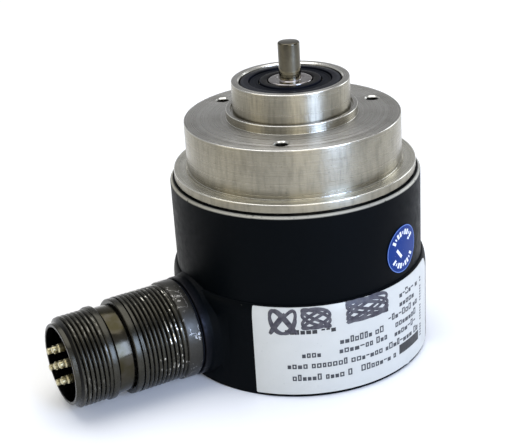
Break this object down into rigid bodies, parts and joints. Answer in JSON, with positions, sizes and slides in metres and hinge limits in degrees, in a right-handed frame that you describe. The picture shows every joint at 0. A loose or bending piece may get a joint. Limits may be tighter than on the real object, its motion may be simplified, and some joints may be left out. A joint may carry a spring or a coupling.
{
  "type": "rotary encoder",
  "caption": "Flange-mounted incremental shaft encoder with a stepped round housing, a raised bearing boss and a threaded side connector.",
  "frame": {"origin": "centre of the flat rear face, on the shaft axis", "axes": "+Z along the shaft towards its free end; the side connector points along azimuth 208 degrees, counted from +X towards +Y"},
  "size_m": [0.1081, 0.0817, 0.089],
  "materials": {
    "machined_aluminium": "bright turned, light wear on the edges",
    "polished_steel": "ground",
    "bearing_steel": "ground, oily",
    "black_paint": "satin black, worn to metal on the sharp edges",
    "olive_plating": "dark olive plating with scratches",
    "black_rubber": "matte",
    "gold_contact": "pale gold plating",
    "board_laminate": "solder mask",
    "black_plastic": "moulded",
    "clear_glass": "polished",
    "brass_turned": "turned",
    "nylon_cage": "moulded",
    "label_film": "printed white film",
    "blue_film": "printed blue film"
  },
  "bodies": {
    "stator": {"flange": "machined_aluminium", "sensor_bracket": "machined_aluminium", "tie_screw_1": "polished_steel", "tie_screw_2": "polished_steel", "tie_screw_3": "polished_steel", "wave_spring": "polished_steel", "front_bearing_outer_ring": "bearing_steel", "rear_bearing_outer_ring": "bearing_steel", "housing": "black_paint", "rear_cover": "black_paint", "connector_adapter": "olive_plating", "connector_shell": "olive_plating", "flange_o_ring": "black_rubber", "front_bearing_seal": "black_rubber", "connector_gasket": "black_rubber", "contact_1": "gold_contact", "contact_2": "gold_contact", "contact_3": "gold_contact", "contact_4": "gold_contact", "contact_5": "gold_contact", "contact_6": "gold_contact", "contact_7": "gold_contact", "main_board": "board_laminate", "sensor_board": "board_laminate", "processor_chip": "black_plastic", "board_header": "black_plastic", "light_source": "black_plastic", "connector_insert": "black_plastic", "lead_bundle": "black_plastic", "scanning_mask": "clear_glass", "board_standoff_1": "brass_turned", "board_standoff_2": "brass_turned", "board_standoff_3": "brass_turned", "label": "label_film", "inspection_seal": "blue_film"},
    "rotor": {"shaft": "polished_steel", "front_bearing_inner_ring": "bearing_steel", "rear_bearing_inner_ring": "bearing_steel", "shaft_circlip": "polished_steel", "disc_hub": "machined_aluminium", "code_disc": "clear_glass", "disc_clamp_ring": "brass_turned", "hub_set_screw": "polished_steel"},
    "front_ball_set": {"front_bearing_cage": "nylon_cage", "front_ball_1": "polished_steel", "front_ball_2": "polished_steel", "front_ball_3": "polished_steel", "front_ball_4": "polished_steel", "front_ball_5": "polished_steel", "front_ball_6": "polished_steel", "front_ball_7": "polished_steel"},
    "rear_ball_set": {"rear_bearing_cage": "nylon_cage", "rear_ball_1": "polished_steel", "rear_ball_2": "polished_steel", "rear_ball_3": "polished_steel", "rear_ball_4": "polished_steel", "rear_ball_5": "polished_steel", "rear_ball_6": "polished_steel", "rear_ball_7": "polished_steel"}
  },
  "joints": [
    {"name": "shaft_spin", "type": "hinge", "parent": "stator", "child": "rotor", "pos_m": [0, 0, 0.05], "axis": [0, 0, 1], "continuous": true},
    {"name": "front_cage_spin", "type": "hinge", "parent": "stator", "child": "front_ball_set", "pos_m": [0, 0, 0.0746], "axis": [0, 0, 1], "continuous": true},
    {"name": "rear_cage_spin", "type": "hinge", "parent": "stator", "child": "rear_ball_set", "pos_m": [0, 0, 0.0572], "axis": [0, 0, 1], "continuous": true}
  ],
  "couplings": [
    {"joint": "front_cage_spin", "follows": "shaft_spin", "ratio": 0.385},
    {"joint": "rear_cage_spin", "follows": "shaft_spin", "ratio": 0.385}
  ]
}
